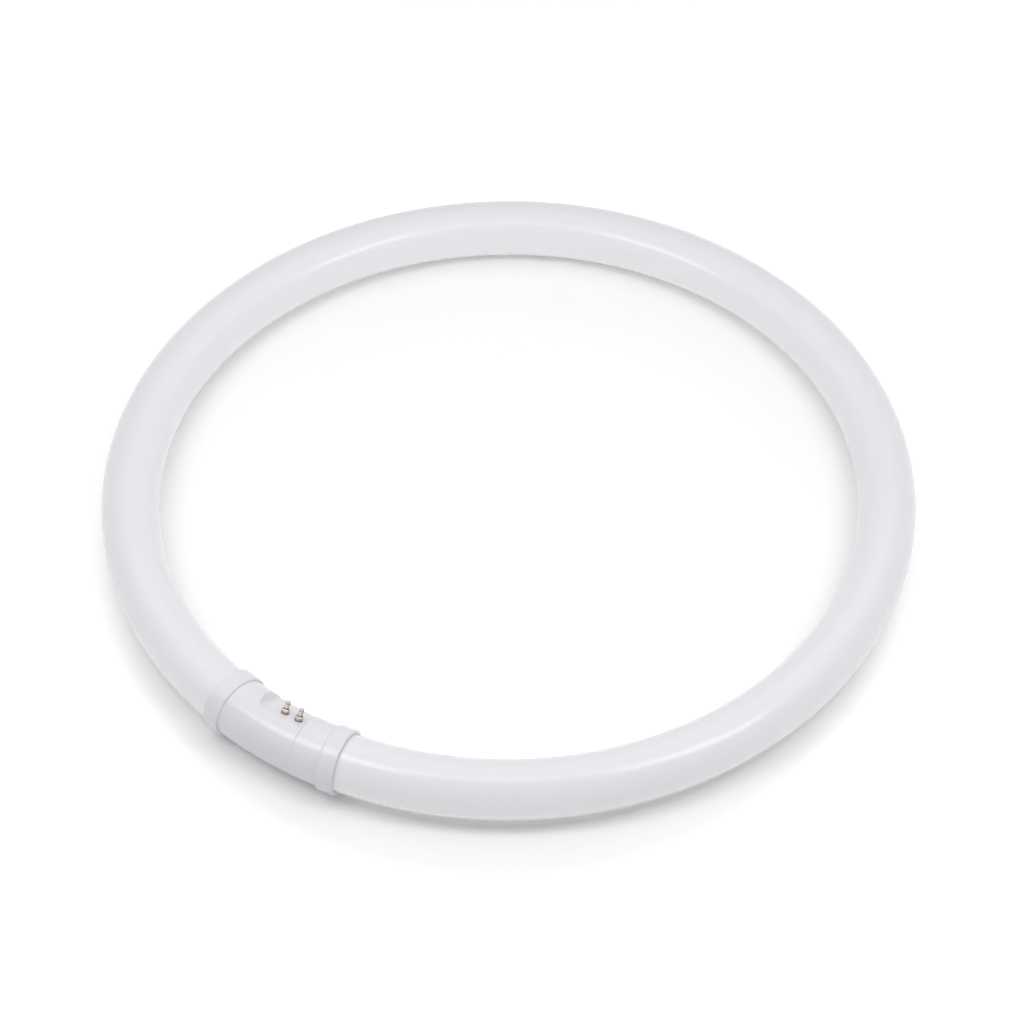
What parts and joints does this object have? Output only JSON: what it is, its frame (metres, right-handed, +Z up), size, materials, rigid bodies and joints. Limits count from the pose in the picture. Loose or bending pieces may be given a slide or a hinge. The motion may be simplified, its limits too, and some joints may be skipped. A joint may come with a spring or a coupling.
{
  "type": "circular led tube",
  "caption": "Ring-shaped LED lamp: an opal tube bent to a circle, closed by a white connector housing with contact pins in a recess.",
  "frame": {"origin": "centre of the ring, on the middle plane of the tube", "axes": "+Z up, square to the ring's plane; the connector housing is on the -Y side and its pins face up and towards the ring's centre"},
  "size_m": [0.406, 0.4067, 0.0331],
  "materials": {
    "diffuser": "opal, glossy",
    "housing": "moulded, glossy",
    "pin": "turned, with a tinned tip",
    "board": "white coated",
    "led": "phosphor",
    "link": "tinned",
    "lead": "insulation"
  },
  "bodies": {
    "root": {"diffuser_tube": "diffuser", "pin_housing": "housing", "end_housing": "housing", "contact_pin_1": "pin", "contact_pin_2": "pin", "led_board_1": "board", "led_board_2": "board", "led_board_3": "board", "led_board_4": "board", "led_chips_1": "led", "led_chips_2": "led", "led_chips_3": "led", "led_chips_4": "led", "board_link_1": "link", "board_link_2": "link", "board_link_3": "link", "lead_1": "lead", "lead_2": "lead"}
  },
  "joints": []
}
